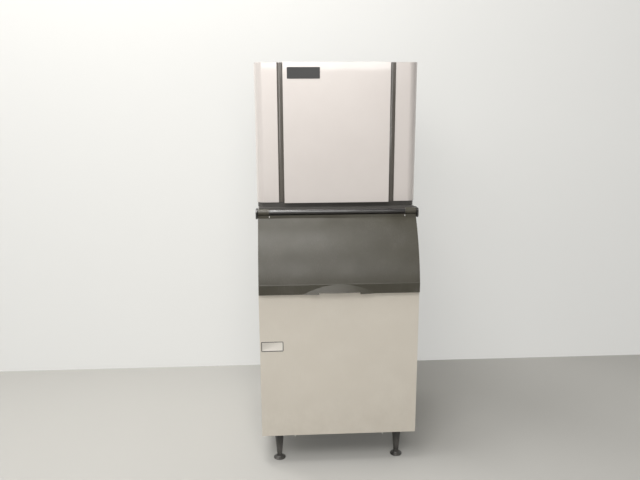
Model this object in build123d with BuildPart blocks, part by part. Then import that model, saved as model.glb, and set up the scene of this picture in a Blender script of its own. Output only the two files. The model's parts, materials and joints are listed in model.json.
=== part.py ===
from build123d import *
import os
from math import atan2, cos, degrees, pi, sqrt

os.makedirs("parts", exist_ok=True)

# Modular ice maker: a cuber head standing on an insulated ice bin.
# Millimetres. X to the right, Y to the back, Z up, origin on the floor under the middle.

# Driving sizes of the whole machine
bin_width = 762
head_width = 772
bin_front = -369
back = 398
leg_height = 156
rim_top = 1267
deck_top = 1270
panel_bottom = 1294
head_top = 1948
sheet = 1.2

# How far a cutting shape reaches past the piece it cuts
beyond = 20

# The door's curved side outline: one arc, then an upright band along its lower edge
curve_radius = 676
curve_y = 278
curve_z = 804
band_y = -386
door_bottom = 887
door_crease = 936
door_thickness = 24
door_half = 379.5
door_neck = 1226
door_top = 1240

# Grip lip at the middle of the door's lower edge: part of a large cone, hollow underneath
lip_top = 933
lip_cone_radius = 1021
lip_wall = 4.5
pocket_half = 97
pocket_top = 922
notch_top = 895
lip_proud = (back + band_y) * (lip_top - door_bottom) / (lip_top - notch_top)

# Hinge bar on which the door swings
hinge_y = -238
hinge_z = 1254
bar_radius = 12.3
bar_half = 381
knuckle_radius = 15.8
knuckle_length = 52

# Walls of the bin, from its outer sheet to the inside of its liner
wall = 46
liner_thickness = 5
flange = 4
bin_floor = 230
front_rim = 905
brow_y = -218
brow_depth = 46
brow_bottom = 1200
door_gap = 2

# Drain of the bin, through its rear wall
drain_z = 262
drain_radius = 15
drain_bore = 10.5

# Legs and levelling feet
leg_x = 298
leg_front_y = -305
leg_rear_y = 325
leg_places = {
    "front_left": (-leg_x, leg_front_y),
    "front_right": (leg_x, leg_front_y),
    "rear_left": (-leg_x, leg_rear_y),
    "rear_right": (leg_x, leg_rear_y),
}
leg_top_radius = 24.5
leg_tip_radius = 13.5
leg_tip = 26
stud_radius = 8
foot_radius = 30

# Opening through which the ice drops from the head into the bin
drop_left = -328
drop_right = -36
drop_front = -110
drop_back = 85
drop_wall = 3
drop_collar = 20

# Cabinet of the head
side_front = -187
panel_front = -205
panel_half = 252
panel_hang = 1.5
strip_outer = 279
corner_radius = 42
head_back = 394
base_floor = 5
base_wall = 4
base_inset = 4
rim_height = 6

# Freezing side of the head, on the left
divider_x = -15
wall_y = 152
cell = 35
cell_columns = 8
cell_rows = 11
cell_depth = 19
fin = 1.6
plate = 3
evaporator_left = -323
evaporator_bottom = 1440
evaporator_width = cell * cell_columns + fin
evaporator_height = cell * cell_rows + fin
evaporator_right = evaporator_left + evaporator_width
evaporator_top = evaporator_bottom + evaporator_height
coil_thickness = 8
coil_front = wall_y - coil_thickness
evaporator_back = coil_front
evaporator_front = evaporator_back - plate - cell_depth
curtain_y = 96
curtain_z = 1862
curtain_pin = 4
trough_left = -366
trough_right = -24
trough_front = 96
trough_back = 250
trough_bottom = 1310
trough_top = 1392
pump_x = -80
pump_y = 205
float_y = 205

# Machine side of the head, on the right
compressor_x = 165
compressor_y = -30
compressor_radius = 88
condenser_left = 25
condenser_right = 365
condenser_bottom = 1300
condenser_top = 1620
condenser_front = 330
condenser_back = 370
fan_x = (condenser_left + condenser_right) / 2
fan_z = (condenser_bottom + condenser_top) / 2
fan_radius = 115
header_x = 372
pipe_radius = 5
box_left = 60
box_right = 360
box_front = -150
box_back = -60
box_bottom = 1690
box_top = 1900
switch_x = 120
switch_z = 1800

# Small and repeated round pieces are regular polygons, which keeps the number of facets down
running_gap = 0.06
round_sides = 24
shaft_sides = 12


def frustum(x, y, base, tip, wide, narrow):
    """Many-sided taper, from radius wide at height base to radius narrow at height tip."""
    narrowing = (wide - narrow) * cos(pi / round_sides)
    with BuildPart(mode=Mode.PRIVATE) as taper:
        with BuildSketch(Plane((x, y, base), z_dir=(0, 0, tip - base))):
            RegularPolygon(wide, round_sides)
        extrude(amount=abs(tip - base), taper=degrees(atan2(narrowing, abs(tip - base))))
    return taper.part


def shaft(radius):
    """Outline of a shaft that turns in a bore."""
    return RegularPolygon(radius, shaft_sides)


def bore(radius, mode=Mode.ADD):
    """Outline of a hole whose flats clear a turning shaft of this radius at every angle."""
    return RegularPolygon(radius + running_gap, shaft_sides, major_radius=False, mode=mode)


def save(piece, name):
    piece.part.label = name
    export_step(piece.part, f"parts/{name}.step")


def door_curve(inset, z):
    """Y of the door's arc at height z, set back square to the arc by inset."""
    return curve_y - sqrt((curve_radius - inset) ** 2 - (z - curve_z) ** 2)


def curve_height(inset, y):
    """Height at which the door's arc, set back by inset, reaches y."""
    return curve_z + sqrt((curve_radius - inset) ** 2 - (y - curve_y) ** 2)


def bin_outline(skin):
    """Side outline of the bin, drawn skin millimetres inside its front and top edges."""
    inset = door_thickness + door_gap + skin
    brow = brow_y + skin
    rim = front_rim - skin
    shoulder = curve_height(inset, brow)
    middle = (rim + shoulder) / 2
    with BuildSketch() as outline:
        with BuildLine():
            ThreePointArc(
                (door_curve(inset, rim), rim),
                (door_curve(inset, middle), middle),
                (brow, shoulder),
            )
            Polyline(
                (brow, shoulder),
                (brow, rim_top - skin),
                (back, rim_top - skin),
                (back, leg_height),
                (bin_front, leg_height),
                (bin_front, rim),
                (door_curve(inset, rim), rim),
            )
        make_face()
    return outline.sketch


def bin_hollow(skin, corner):
    """The space inside the bin, grown by skin: the tub, the way in behind the door and the open top."""
    front = bin_front + wall - skin
    rear = back - wall + skin
    sill = front_rim - flange * min(skin, 1)
    outside = bin_front - 3 * beyond
    above = rim_top + beyond
    with BuildPart(mode=Mode.PRIVATE) as hollow:
        with BuildSketch(Plane.YZ):
            with BuildLine():
                Polyline(
                    (front, bin_floor - skin),
                    (front, sill),
                    (outside, sill),
                    (outside, brow_bottom + skin),
                    (brow_y + brow_depth - skin, brow_bottom + skin),
                    (brow_y + brow_depth - skin, above),
                    (rear, above),
                    (rear, bin_floor - skin),
                    close=True,
                )
            make_face()
        extrude(amount=bin_width / 2 - wall + skin, both=True)
        tub_corners = hollow.edges().filter_by(Axis.Z).filter_by(lambda edge: edge.length > 600)
        fillet(tub_corners, radius=corner)
    return hollow.part


def drop_shape(grow):
    """Plan of the ice drop opening, grown by grow."""
    with BuildSketch() as plan:
        with Locations(((drop_left + drop_right) / 2, (drop_front + drop_back) / 2)):
            Rectangle(drop_right - drop_left + 2 * grow, drop_back - drop_front + 2 * grow)
    return plan.sketch


def head_plan(skin):
    """Plan outline of the head's cabinet, drawn skin millimetres inside it, its front corners rounded."""
    with BuildSketch() as plan:
        with Locations((0, (side_front + head_back) / 2)):
            Rectangle(head_width - 2 * skin, head_back - side_front - 2 * skin)
        fillet(plan.vertices().group_by(Axis.Y)[0], radius=corner_radius - skin)
    return plan.sketch


# Bin: insulated tub in a painted wrapper

tub_inside = bin_hollow(0, 40)
tub_outside = bin_hollow(liner_thickness, 44)

with BuildPart() as bin_liner:
    with BuildSketch(Plane.YZ):
        add(bin_outline(flange / 2))
    extrude(amount=bin_width / 2, both=True)
    add(tub_outside, mode=Mode.INTERSECT)
    with BuildSketch(Plane.YZ):
        add(bin_outline(0))
        add(bin_outline(flange), mode=Mode.SUBTRACT)
        with Locations((0, (front_rim - flange) / 2)):
            Rectangle(3 * back, front_rim - flange, mode=Mode.SUBTRACT)
        with Locations((back, rim_top / 2)):
            Rectangle(2 * flange, 2 * rim_top, mode=Mode.SUBTRACT)
    extrude(amount=bin_width / 2, both=True)
    add(tub_inside, mode=Mode.SUBTRACT)
    with BuildSketch(Plane.XZ.offset(-back)):
        with Locations((0, drain_z)):
            RegularPolygon(drain_radius, 8)
    extrude(amount=wall + beyond, mode=Mode.SUBTRACT)
save(bin_liner, "bin_liner")

base_flange = 18

with BuildPart() as bin_wrapper:
    with BuildSketch(Plane.YZ):
        add(bin_outline(flange))
    extrude(amount=bin_width / 2, both=True)
    with BuildSketch(Plane.XY.offset(leg_height)):
        with Locations((0, back)):
            Rectangle(bin_width - 2 * sheet, 2 * (back - bin_front - sheet))
    extrude(amount=rim_top, mode=Mode.SUBTRACT)
    with BuildSketch(Plane.XY.offset(leg_height)):
        with Locations((0, (bin_front + back) / 2)):
            Rectangle(bin_width, back - bin_front)
            Rectangle(bin_width - 2 * base_flange, back - bin_front - 2 * base_flange, mode=Mode.SUBTRACT)
        with Locations((0, back)):
            Rectangle(bin_width, 4 * sheet, mode=Mode.SUBTRACT)
    extrude(amount=sheet)
save(bin_wrapper, "bin_wrapper")

pan_thickness = 2
pan_bottom = leg_height + sheet
pan_top = pan_bottom + pan_thickness
inner_front = bin_front + sheet
inner_back = back - sheet
inner_half = bin_width / 2 - sheet

with BuildPart() as bin_base_pan:
    with BuildSketch(Plane.XY.offset(pan_bottom)):
        with Locations((0, (inner_front + inner_back) / 2)):
            Rectangle(2 * inner_half, inner_back - inner_front)
    extrude(amount=pan_thickness)
save(bin_base_pan, "bin_base_pan")

# Back of the bin: a large upper sheet, two lower ones beside the drain and a strip under it

seam = 1
drain_way = drain_radius + 1
skirt_top = drain_z + drain_way
skirt_inner = drain_way + seam
strip_top = drain_z - drain_way

with BuildPart() as bin_back_panel:
    with BuildSketch(Plane.XZ.offset(-back)):
        with Locations((0, (skirt_top + seam + rim_top) / 2)):
            Rectangle(2 * inner_half, rim_top - skirt_top - seam)
        with Locations((0, (leg_height + skirt_top) / 2)):
            with GridLocations(inner_half + skirt_inner, 0, 2, 1):
                Rectangle(inner_half - skirt_inner, skirt_top - leg_height)
        with Locations((0, (leg_height + strip_top) / 2)):
            Rectangle(2 * drain_way, strip_top - leg_height)
    extrude(amount=sheet)
save(bin_back_panel, "bin_back_panel")

with BuildPart() as bin_insulation:
    with BuildSketch(Plane.YZ):
        add(bin_outline(flange))
        with Locations(((inner_front + inner_back) / 2, (pan_top + rim_top) / 2)):
            Rectangle(inner_back - inner_front, rim_top - pan_top, mode=Mode.INTERSECT)
    extrude(amount=inner_half, both=True)
    add(tub_outside, mode=Mode.SUBTRACT)
    with BuildSketch(Plane.XZ.offset(-back)):
        with Locations((0, drain_z)):
            RegularPolygon(drain_radius, 8)
    extrude(amount=wall, mode=Mode.SUBTRACT)
save(bin_insulation, "bin_insulation")

deck_half = 378
deck_front = brow_y + 2
deck_back = back - 6
deck_lip = 24

with BuildPart() as bin_deck:
    with BuildSketch(Plane.XY.offset(rim_top)):
        with Locations((0, (deck_front + deck_back) / 2)):
            Rectangle(2 * deck_half, deck_back - deck_front)
        add(drop_shape(0), mode=Mode.SUBTRACT)
    extrude(amount=deck_top - rim_top)
    with BuildSketch(Plane.XY.offset(rim_top - deck_lip)):
        add(drop_shape(drop_wall))
        add(drop_shape(0), mode=Mode.SUBTRACT)
    extrude(amount=deck_lip)
save(bin_deck, "bin_deck")

baffle_half = 300
baffle_top = brow_bottom + 55
baffle_bottom = 1120
baffle_knee = brow_bottom - 10
baffle_y = brow_y + brow_depth
baffle_lean = 22
baffle_thickness = 4

with BuildPart() as ice_baffle:
    with BuildSketch(Plane.YZ):
        with BuildLine():
            Polyline(
                (baffle_y, baffle_top),
                (baffle_y, baffle_knee),
                (baffle_y + baffle_lean, baffle_bottom),
                (baffle_y + baffle_lean + baffle_thickness, baffle_bottom),
                (baffle_y + baffle_thickness, baffle_knee),
                (baffle_y + baffle_thickness, baffle_top),
                close=True,
            )
        make_face()
    extrude(amount=baffle_half, both=True)
save(ice_baffle, "ice_baffle")

# Legs: tapered cups under the base pan, and levelling feet whose stems turn in them

stem_top = 60
stem_clearance = 4
collar_top = leg_tip - 1.5
flange_top = 4
collar_bottom = 14

with BuildPart() as legs:
    for x, y in leg_places.values():
        add(frustum(x, y, pan_bottom, leg_tip, leg_top_radius, leg_tip_radius))
        with BuildSketch(Plane((x, y, leg_tip))):
            bore(stud_radius)
        extrude(amount=stem_top + stem_clearance - leg_tip, mode=Mode.SUBTRACT)
save(legs, "legs")

for place, (x, y) in leg_places.items():
    with BuildPart() as foot:
        with BuildSketch(Plane((x, y, 0))):
            RegularPolygon(foot_radius, round_sides)
        extrude(amount=flange_top)
        add(frustum(x, y, flange_top, collar_bottom, foot_radius, leg_tip_radius))
        with BuildSketch(Plane((x, y, collar_bottom))):
            RegularPolygon(leg_tip_radius, 6)
        extrude(amount=collar_top - collar_bottom)
        with BuildSketch(Plane((x, y, collar_top))):
            shaft(stud_radius)
        extrude(amount=stem_top - collar_top)
    save(foot, f"foot_{place}")

# Hinge: a glossy bar across the brow, held between two side plates

with BuildPart() as hinge_bar:
    with BuildSketch(Plane.YZ):
        with Locations((hinge_y, hinge_z)):
            Circle(bar_radius)
    extrude(amount=bar_half, both=True)
save(hinge_bar, "hinge_bar")

plate_inner = bin_width / 2
plate_outer = 390
plate_front = hinge_y - 22
plate_rear = brow_y + 30
plate_bottom = hinge_z - 30
plate_top = deck_top - 1
plate_chamfer = 9

with BuildPart() as hinge_plates:
    for side in (-1, 1):
        with BuildSketch(Plane.YZ.offset(side * plate_inner)) as plate_outline:
            with Locations(((plate_front + plate_rear) / 2, (plate_bottom + plate_top) / 2)):
                Rectangle(plate_rear - plate_front, plate_top - plate_bottom)
            chamfer(plate_outline.vertices(), length=plate_chamfer)
        extrude(amount=side * (plate_outer - plate_inner))
save(hinge_plates, "hinge_plates")

# Door: one thick moulding that follows the arc, with two knuckles, a crease, a band and a grip lip

crease_y = door_curve(0, door_crease)
crease_drop = 3
band_back = bin_front - door_gap
band_step = front_rim + door_gap
neck_front = door_curve(0, door_neck)
neck_back = brow_y - 4
neck_bottom = curve_height(door_thickness, neck_back)
outer_middle = (door_crease + door_neck) / 2
inner_middle = (band_step + neck_bottom) / 2
lip_axis_y = band_y + lip_cone_radius
lip_cone_height = lip_top - door_bottom
lip_half = 200
lip_reach = 44
pocket_corner = 3
pocket_back = band_back - 4


def lip_cone(shrink):
    """The large upright cone whose front bulges through the band as the grip lip."""
    with BuildPart(mode=Mode.PRIVATE) as cone:
        with Locations((0, lip_axis_y, door_bottom)):
            Cone(
                lip_cone_radius + lip_proud - shrink,
                lip_cone_radius - shrink,
                lip_cone_height,
                align=(Align.CENTER, Align.CENTER, Align.MIN),
            )
    return cone.part


with BuildPart(mode=Mode.PRIVATE) as grip_lip:
    with BuildSketch(Plane.XY.offset(door_bottom)):
        with Locations((0, band_y + 2 - lip_reach / 2)):
            Rectangle(2 * lip_half, lip_reach)
    extrude(amount=lip_cone_height)
    add(lip_cone(0), mode=Mode.INTERSECT)

with BuildPart(mode=Mode.PRIVATE) as finger_pocket:
    with BuildSketch(Plane.XY.offset(door_bottom)):
        with Locations((0, pocket_back - lip_reach)):
            RectangleRounded(2 * pocket_half, 2 * lip_reach, pocket_corner)
    extrude(amount=pocket_top - door_bottom)
    add(lip_cone(lip_wall), mode=Mode.INTERSECT)

with BuildPart() as bin_door:
    with BuildSketch(Plane.YZ):
        with BuildLine():
            Polyline(
                (crease_y, door_crease),
                (band_y, door_crease - crease_drop),
                (band_y, door_bottom),
                (band_back, door_bottom),
                (band_back, band_step),
                (door_curve(door_thickness, band_step), band_step),
            )
            ThreePointArc(
                (door_curve(door_thickness, band_step), band_step),
                (door_curve(door_thickness, inner_middle), inner_middle),
                (neck_back, neck_bottom),
            )
            Polyline(
                (neck_back, neck_bottom),
                (neck_back, door_top),
                (neck_front, door_top),
                (neck_front, door_neck),
            )
            ThreePointArc(
                (neck_front, door_neck),
                (door_curve(0, outer_middle), outer_middle),
                (crease_y, door_crease),
            )
        make_face()
    extrude(amount=door_half, both=True)
    with BuildSketch(Plane.YZ):
        with Locations((hinge_y, hinge_z)):
            Circle(knuckle_radius)
    extrude(amount=door_half, both=True)
    with BuildSketch(Plane.YZ):
        with Locations((hinge_y, (door_top + deck_top) / 2)):
            Rectangle(4 * knuckle_radius, deck_top - door_top)
    extrude(amount=door_half - knuckle_length, both=True, mode=Mode.SUBTRACT)
    add(grip_lip.part)
    add(finger_pocket.part, mode=Mode.SUBTRACT)
    with BuildSketch(Plane.XZ.offset(-band_back)):
        with Locations((0, (door_bottom + notch_top) / 2)):
            Rectangle(2 * pocket_half, notch_top - door_bottom)
    extrude(amount=2 * lip_reach, both=True, mode=Mode.SUBTRACT)
    with BuildSketch(Plane.YZ):
        with Locations((hinge_y, hinge_z)):
            Circle(bar_radius + running_gap)
    extrude(amount=bar_half, both=True, mode=Mode.SUBTRACT)
save(bin_door, "bin_door")

label_left = -375
label_right = -268
label_bottom = 600
label_top = 651
label_thickness = 1
label_chamfer = 3

with BuildPart() as bin_label:
    with BuildSketch(Plane.XZ.offset(-bin_front)) as label_outline:
        with Locations(((label_left + label_right) / 2, (label_bottom + label_top) / 2)):
            Rectangle(label_right - label_left, label_top - label_bottom)
        chamfer(label_outline.vertices(), length=label_chamfer)
    extrude(amount=label_thickness)
save(bin_label, "bin_label")

screw_x = 218
screw_inset = 9
screw_radius = 7
screw_height = 3

with BuildPart() as bin_screws:
    with BuildSketch(Plane.XY.offset(leg_height)):
        with Locations((-screw_x, bin_front + screw_inset), (screw_x, bin_front + screw_inset)):
            RegularPolygon(screw_radius, 6)
    extrude(amount=-screw_height)
save(bin_screws, "bin_screws")

# Head: moulded base pan on the deck

with BuildPart() as head_base:
    with BuildSketch(Plane.XY.offset(deck_top)):
        add(head_plan(base_inset))
    extrude(amount=panel_bottom - deck_top)
    with BuildSketch(Plane.XY.offset(deck_top + base_floor)):
        add(head_plan(base_inset + base_wall))
    extrude(amount=panel_bottom, mode=Mode.SUBTRACT)
    with BuildSketch(Plane.XY.offset(panel_bottom)):
        add(head_plan(sheet))
        add(head_plan(base_inset + base_wall), mode=Mode.SUBTRACT)
        with Locations((0, side_front)):
            Rectangle(2 * strip_outer, 2 * corner_radius, mode=Mode.SUBTRACT)
        with Locations((0, head_back)):
            Rectangle(head_width, 4 * base_wall, mode=Mode.SUBTRACT)
    extrude(amount=rim_height)
    with BuildSketch(Plane.XY.offset(deck_top)):
        add(drop_shape(drop_wall))
    extrude(amount=drop_collar)
    with BuildSketch(Plane.XY.offset(deck_top)):
        add(drop_shape(0))
    extrude(amount=2 * drop_collar, mode=Mode.SUBTRACT)
save(head_base, "head_base")

panel_height = head_top - sheet - panel_bottom

for side, place in ((-1, "left"), (1, "right")):
    with BuildPart() as side_panel:
        with BuildSketch(Plane.XY.offset(panel_bottom)):
            add(head_plan(0))
            add(head_plan(sheet), mode=Mode.SUBTRACT)
            with Locations((0, head_back)):
                Rectangle(head_width - 2 * sheet, 4 * sheet, mode=Mode.SUBTRACT)
            with Locations((-side * head_width / 2, 0)):
                Rectangle(head_width + 2 * strip_outer, 4 * head_back, mode=Mode.SUBTRACT)
        extrude(amount=panel_height)
    save(side_panel, f"{place}_side_panel")

strip_half = (strip_outer - panel_half) / 2
strip_rim = 3
strip_slope = 1.5
strip_proud = 2
strip_hollow = 3
strip_crown = 1
strip_back = 7

with BuildPart() as trim_strips:
    for side in (-1, 1):
        strip_middle = side * (panel_half + strip_outer) / 2
        with BuildSketch(Plane((strip_middle, side_front, panel_bottom))):
            with BuildLine():
                Polyline(
                    (-strip_half, -strip_proud),
                    (-strip_half + strip_rim, -strip_proud),
                    (-strip_half + strip_rim + strip_slope, strip_hollow),
                    (0, strip_crown),
                    (strip_half - strip_rim - strip_slope, strip_hollow),
                    (strip_half - strip_rim, -strip_proud),
                    (strip_half, -strip_proud),
                    (strip_half, strip_back),
                    (-strip_half, strip_back),
                    close=True,
                )
            make_face()
        extrude(amount=panel_height)
save(trim_strips, "trim_strips")

front_bottom = panel_bottom - panel_hang
front_height = head_top - front_bottom

with BuildPart() as front_panel:
    with BuildSketch(Plane.XZ.offset(-side_front)):
        with Locations((0, (front_bottom + head_top) / 2)):
            Rectangle(2 * panel_half, front_height)
    extrude(amount=side_front - panel_front)
    with BuildSketch(Plane.XZ.offset(-side_front)):
        with Locations((0, (front_bottom + head_top) / 2)):
            Rectangle(2 * panel_half - 2 * sheet, front_height - 2 * sheet)
    extrude(amount=side_front - panel_front - sheet, mode=Mode.SUBTRACT)
save(front_panel, "front_panel")

top_flange = 15
top_flange_length = head_back - side_front - 80

with BuildPart() as top_panel:
    with BuildSketch(Plane.XY.offset(head_top - sheet)):
        add(head_plan(0))
    extrude(amount=sheet)
    with BuildSketch(Plane.XY.offset(head_top - sheet)):
        with Locations((0, (head_back + side_front) / 2 + 30)):
            Rectangle(head_width - 2 * sheet, top_flange_length)
            Rectangle(head_width - 4 * sheet, head_back - side_front, mode=Mode.SUBTRACT)
    extrude(amount=-top_flange)
save(top_panel, "top_panel")

slot_width = 320
slot_height = 11
slot_pitch = 30
slot_rows = 8
inlet_x = -180
inlet_z = 1330
inlet_radius = 8
inlet_bore = 5
outlet_x = -280
fitting_length = 28
back_half = head_width / 2 - sheet
back_top = head_top - sheet
back_seam = -17
fitting_top = inlet_z + drain_way
inlet_way = inlet_radius + 1

# Back of the head: slotted sheet on the machine side, and on the freezing side a plain sheet
# with three short ones between the fittings below it

with BuildPart() as head_back_panel:
    with BuildSketch(Plane.XZ.offset(-head_back)):
        with Locations(((back_seam + back_half) / 2, (deck_top + back_top) / 2)):
            Rectangle(back_half - back_seam, back_top - deck_top)
        with Locations((fan_x, fan_z)):
            with GridLocations(0, slot_pitch, 1, slot_rows):
                Rectangle(slot_width, slot_height, mode=Mode.SUBTRACT)
    extrude(amount=sheet)
save(head_back_panel, "head_back_panel")

with BuildPart() as freezing_back_panel:
    with BuildSketch(Plane.XZ.offset(-head_back)):
        with Locations(((back_seam - back_half) / 2, (fitting_top + seam + back_top) / 2)):
            Rectangle(back_seam + back_half, back_top - fitting_top - seam)
        for left, right in (
            (-back_half, outlet_x - drain_way),
            (outlet_x + drain_way, inlet_x - inlet_way),
            (inlet_x + inlet_way, back_seam),
        ):
            with Locations(((left + right) / 2, (deck_top + fitting_top) / 2)):
                Rectangle(right - left, fitting_top - deck_top)
    extrude(amount=sheet)
save(freezing_back_panel, "freezing_back_panel")

with BuildPart() as water_fittings:
    for fitting_x, fitting_z, outer, inner, length in (
        (0, drain_z, drain_radius, drain_bore, wall),
        (outlet_x, inlet_z, drain_radius, drain_bore, fitting_length),
        (inlet_x, inlet_z, inlet_radius, inlet_bore, fitting_length),
    ):
        with BuildSketch(Plane.XZ.offset(-back)):
            with Locations((fitting_x, fitting_z)):
                RegularPolygon(outer, 8)
                Circle(inner, mode=Mode.SUBTRACT)
        extrude(amount=length)
save(water_fittings, "water_fittings")

badge_left = -232
badge_right = -79
badge_bottom = 1873
badge_top = 1925
badge_thickness = 1

with BuildPart() as head_badge:
    with BuildSketch(Plane.XZ.offset(-panel_front)):
        with Locations(((badge_left + badge_right) / 2, (badge_bottom + badge_top) / 2)):
            Rectangle(badge_right - badge_left, badge_top - badge_bottom)
    extrude(amount=badge_thickness)
save(head_badge, "head_badge")

# Freezing side: the divider and the rear wall that carries the evaporator

sheet_top = head_top - sheet
base_top = deck_top + base_floor
divider_thickness = 2
divider_front = side_front + 12
divider_back = head_back - base_inset - base_wall
tail_x = -57
tail_back = 230
coil_low = 1470
coil_high = 1814
line_y = 250
hot_gas_y = 222
hot_gas_z = 1650

with BuildPart() as divider:
    with BuildSketch(Plane.YZ.offset(divider_x)):
        with Locations(((divider_front + divider_back) / 2, (base_top + sheet_top) / 2)):
            Rectangle(divider_back - divider_front, sheet_top - base_top)
        with Locations((line_y, coil_low), (line_y, coil_high), (hot_gas_y, hot_gas_z)):
            Rectangle(20, 20, mode=Mode.SUBTRACT)
    extrude(amount=-divider_thickness)
save(divider, "divider")

wall_left = -head_width / 2 + 2 * sheet
wall_right = divider_x - divider_thickness
wall_bottom = 1425
wall_thickness = 2
supply_x = -42
supply_radius = 6
distributor_radius = 9
distributor_y = 133
distributor_z = evaporator_top + distributor_radius

with BuildPart() as evaporator_wall:
    with BuildSketch(Plane.XZ.offset(-wall_y)):
        with Locations(((wall_left + wall_right) / 2, (wall_bottom + sheet_top) / 2)):
            Rectangle(wall_right - wall_left, sheet_top - wall_bottom)
        with Locations((tail_x, coil_low), (tail_x, coil_high), (supply_x, distributor_z)):
            Rectangle(16, 16, mode=Mode.SUBTRACT)
    extrude(amount=-wall_thickness)
save(evaporator_wall, "evaporator_wall")

# Evaporator: a plate with a grid of fins that freezes one cube in each cell

evaporator_x = (evaporator_left + evaporator_right) / 2
evaporator_z = (evaporator_bottom + evaporator_top) / 2

with BuildPart() as evaporator:
    with BuildSketch(Plane.XZ.offset(-evaporator_back)):
        with Locations((evaporator_x, evaporator_z)):
            Rectangle(evaporator_width, evaporator_height)
    extrude(amount=plate + cell_depth)
    with BuildSketch(Plane.XZ.offset(-evaporator_front)):
        with Locations((evaporator_x, evaporator_z)):
            with GridLocations(cell, cell, cell_columns, cell_rows):
                Rectangle(cell - fin, cell - fin)
    extrude(amount=-cell_depth, mode=Mode.SUBTRACT)
save(evaporator, "evaporator")

# Coil: flattened tube in a serpentine on the back of the plate, its two tails through the wall

coil_width = 10
passes = 8
coil_pitch = (coil_high - coil_low) / (passes - 1)
coil_corner = 14
coil_left = evaporator_left + 40
coil_right = evaporator_right - 40

with BuildPart() as evaporator_coil:
    with BuildSketch(Plane.XZ.offset(-wall_y)):
        with BuildLine():
            for row in range(passes):
                height = coil_low + row * coil_pitch
                right = tail_x if row in (0, passes - 1) else coil_right
                Line((coil_left, height), (right, height))
            for row in range(passes - 1):
                height = coil_low + row * coil_pitch
                bend_x = coil_right if row % 2 else coil_left
                bulge = coil_corner if row % 2 else -coil_corner
                Polyline(
                    (bend_x, height),
                    (bend_x + bulge, height + coil_corner),
                    (bend_x + bulge, height + coil_pitch - coil_corner),
                    (bend_x, height + coil_pitch),
                )
        trace(line_width=coil_width)
    extrude(amount=coil_thickness)
    with BuildSketch(Plane.XZ.offset(-tail_back)):
        with Locations((tail_x, coil_low), (tail_x, coil_high)):
            Rectangle(coil_width, coil_width)
    extrude(amount=tail_back - coil_front)
save(evaporator_coil, "evaporator_coil")

# Water side: distributor over the plate, curtain in front of it, trough below it


def pipe(points, radius, bend):
    """Round pipe along straight runs, each corner turned in two mitres a bend's length from it."""
    corners = [Vector(*point) for point in points]
    route = [corners[0]]
    for before, corner, after in zip(corners, corners[1:], corners[2:]):
        route.append(corner + (before - corner).normalized() * bend)
        route.append(corner + (after - corner).normalized() * bend)
    route.append(corners[-1])
    with BuildPart(mode=Mode.PRIVATE) as tube:
        with BuildLine() as path:
            Polyline(*route)
        with BuildSketch(Plane(route[0], z_dir=route[1] - route[0])):
            RegularPolygon(radius, 8)
        sweep(path=path.line, transition=Transition.RIGHT)
    return tube.part


distributor_left = evaporator_left + 4
distributor_right = supply_x - 20

with BuildPart() as water_distributor:
    with BuildSketch(Plane.YZ.offset(distributor_left)):
        with Locations((distributor_y, distributor_z)):
            RegularPolygon(distributor_radius, 12)
    extrude(amount=distributor_right - distributor_left)
    with BuildSketch(Plane.YZ.offset(distributor_left + 4)):
        with Locations((distributor_y, distributor_z)):
            RegularPolygon(distributor_radius - 2, 12)
    extrude(amount=supply_x - distributor_left, mode=Mode.SUBTRACT)
    with BuildSketch(Plane.XY.offset(evaporator_top)):
        with Locations((evaporator_x, distributor_y - 4)):
            Rectangle(evaporator_width - 40, 2)
    extrude(amount=distributor_radius, mode=Mode.SUBTRACT)
save(water_distributor, "water_distributor")

nozzle_top = 1350

with BuildPart() as supply_tube:
    add(
        pipe(
            [
                (supply_x, pump_y, nozzle_top),
                (supply_x, pump_y, distributor_z),
                (supply_x, distributor_y, distributor_z),
                (distributor_right, distributor_y, distributor_z),
            ],
            supply_radius,
            8,
        )
    )
save(supply_tube, "supply_tube")

curtain_left = -332
curtain_right = -36
curtain_bottom = 1398
curtain_thickness = 2.5
barrel_radius = 7
bracket_thickness = 6
bracket_gap = 6
bracket_places = [curtain_left - bracket_gap - bracket_thickness, curtain_right + bracket_gap]

with BuildPart() as water_curtain:
    with BuildSketch(Plane.XY.offset(curtain_bottom)):
        with Locations(((curtain_left + curtain_right) / 2, curtain_y)):
            Rectangle(curtain_right - curtain_left, curtain_thickness)
            with GridLocations((curtain_right - curtain_left) / 5, 0, 4, 1):
                with Locations((0, -2.5)):
                    Rectangle(2.5, 4)
        with Locations((curtain_left + 1.25, curtain_y + 8), (curtain_right - 1.25, curtain_y + 8)):
            Rectangle(2.5, 16)
    extrude(amount=curtain_z - curtain_bottom - 6)
    with BuildSketch(Plane.YZ.offset(curtain_left)):
        with Locations((curtain_y, curtain_z)):
            RegularPolygon(barrel_radius, 12)
    extrude(amount=curtain_right - curtain_left)
    with BuildSketch(Plane.YZ.offset(bracket_places[0])):
        with Locations((curtain_y, curtain_z)):
            shaft(curtain_pin)
    extrude(amount=bracket_places[1] + bracket_thickness - bracket_places[0])
save(water_curtain, "water_curtain")

with BuildPart() as curtain_brackets:
    for place in bracket_places:
        with BuildSketch(Plane.YZ.offset(place)):
            with Locations(((curtain_y - 8 + wall_y) / 2, curtain_z + 1)):
                Rectangle(wall_y - curtain_y + 8, 20)
            with Locations((curtain_y, curtain_z)):
                bore(curtain_pin, Mode.SUBTRACT)
        extrude(amount=bracket_thickness)
save(curtain_brackets, "curtain_brackets")

trough_wall = 3
trough_x = (trough_left + trough_right) / 2
trough_y = (trough_front + trough_back) / 2
trough_width = trough_right - trough_left
trough_depth = trough_back - trough_front

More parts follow.
